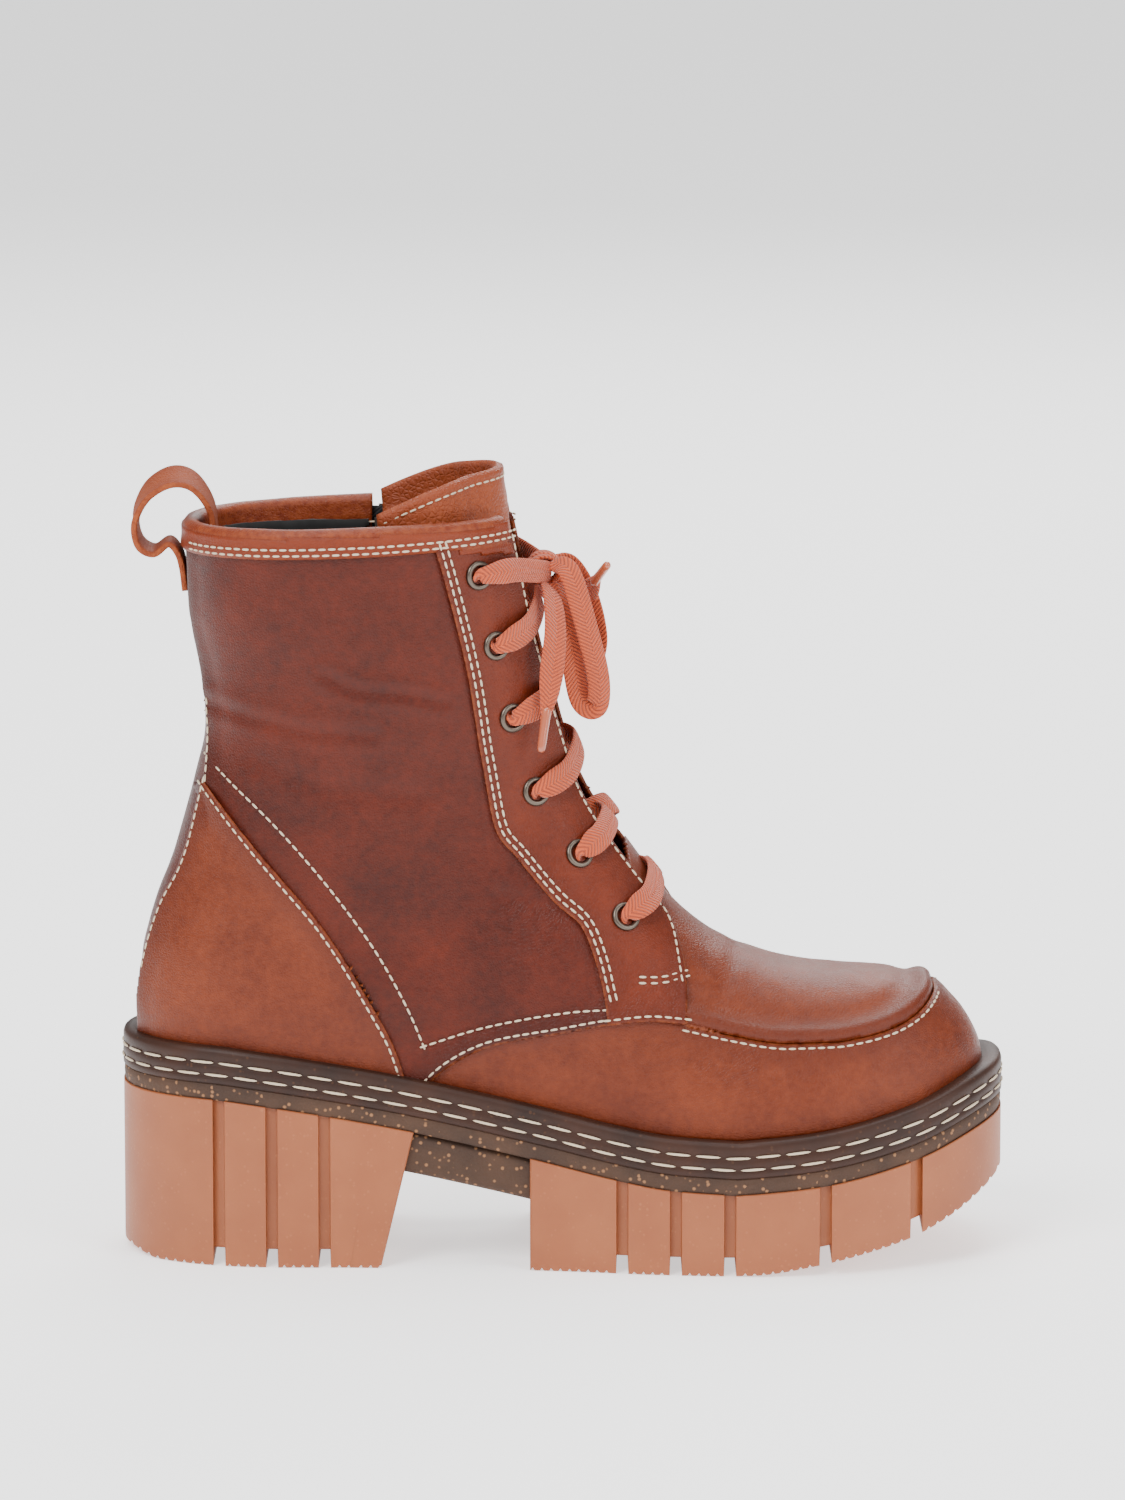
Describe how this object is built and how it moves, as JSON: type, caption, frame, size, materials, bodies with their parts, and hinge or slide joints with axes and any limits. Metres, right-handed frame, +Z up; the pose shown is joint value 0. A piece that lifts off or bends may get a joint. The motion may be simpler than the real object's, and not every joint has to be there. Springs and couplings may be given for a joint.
{
  "type": "lace-up ankle boot",
  "caption": "Right-foot lace-up ankle boot with a moccasin toe, fleece lining, inside zip, heel pull loop and a chunky two-block lugged sole.",
  "frame": {"origin": "on the ground, under the middle of the sole's plan outline", "axes": "+X towards the toe, +Y towards the inner (medial) side of the right foot, +Z up"},
  "size_m": [0.2796, 0.1054, 0.2512],
  "materials": {
    "leather": "burnished pebbled leather, warm reddish brown",
    "tongue_leather": "coarser pebbled leather, reddish brown",
    "fleece": "black pile fleece",
    "board": "pressed fibre board",
    "steel": "bright nickel-plated steel",
    "gum_rubber": "matt tan gum rubber",
    "cork_mix": "dark brown rubber with light cork flecks",
    "welt": "dark stained welt leather with a glossy edge",
    "antique_brass": "dark antique finish",
    "lace": "flat braided cotton, rust orange",
    "aglet": "clear plastic sleeve over the lace",
    "zip_tape": "black woven tape and nylon coil"
  },
  "bodies": {
    "boot": {"heel_block": "gum_rubber", "forefoot_block": "gum_rubber", "midsole": "cork_mix", "bottom_filler": "cork_mix", "welt": "welt", "shank": "steel", "zip_top_stop_front": "steel", "zip_top_stop_rear": "steel", "zip_bottom_stop": "steel", "insole_board": "board", "heel_stiffener": "board", "toe_puff": "board", "footbed": "fleece", "padding_lateral": "fleece", "padding_medial": "fleece", "lining_foot": "fleece", "lining_shaft_lateral": "fleece", "lining_shaft_medial_rear": "fleece", "lining_shaft_medial_front": "fleece", "backstay": "leather", "heel_panel_lateral": "leather", "heel_panel_medial": "leather", "facing_lateral": "leather", "facing_medial": "leather", "quarter_lateral": "leather", "quarter_medial_rear": "leather", "quarter_medial_front": "leather", "vamp_wall": "leather", "apron": "leather", "collar_lateral": "leather", "collar_medial_rear": "leather", "collar_medial_front": "leather", "pull_loop": "leather", "eyelet_lateral_1": "antique_brass", "eyelet_lateral_2": "antique_brass", "eyelet_lateral_3": "antique_brass", "eyelet_lateral_4": "antique_brass", "eyelet_lateral_5": "antique_brass", "eyelet_lateral_6": "antique_brass", "eyelet_medial_1": "antique_brass", "eyelet_medial_2": "antique_brass", "eyelet_medial_3": "antique_brass", "eyelet_medial_4": "antique_brass", "eyelet_medial_5": "antique_brass", "eyelet_medial_6": "antique_brass", "lace": "lace", "lace_knot": "lace", "lace_loop_lateral": "lace", "lace_loop_medial": "lace", "lace_end_lateral": "lace", "lace_end_medial": "lace", "aglet_lateral": "aglet", "aglet_medial": "aglet", "zip_tape_front": "zip_tape", "zip_tape_rear": "zip_tape", "zip_teeth_front": "zip_tape", "zip_teeth_rear": "zip_tape"},
    "tongue": {"tongue": "tongue_leather"},
    "zip_slider": {"zip_slider": "steel"},
    "zip_pull": {"zip_pull": "steel"}
  },
  "joints": [
    {"name": "zip_slide", "type": "slide", "parent": "boot", "child": "zip_slider", "axis": [0.0602, -0.0462, -0.9971], "range_m": [0, 0.131]},
    {"name": "zip_pull", "type": "hinge", "parent": "zip_slider", "child": "zip_pull", "pos_m": [-0.05553, 0.04345, 0.22382], "axis": [0.9975, -0.0341, 0.0618], "range_deg": [0, 165]},
    {"name": "tongue_tilt", "type": "hinge", "parent": "boot", "child": "tongue", "pos_m": [0.018, 0, 0.11], "axis": [0, -1, 0], "range_deg": [0, 8]}
  ]
}
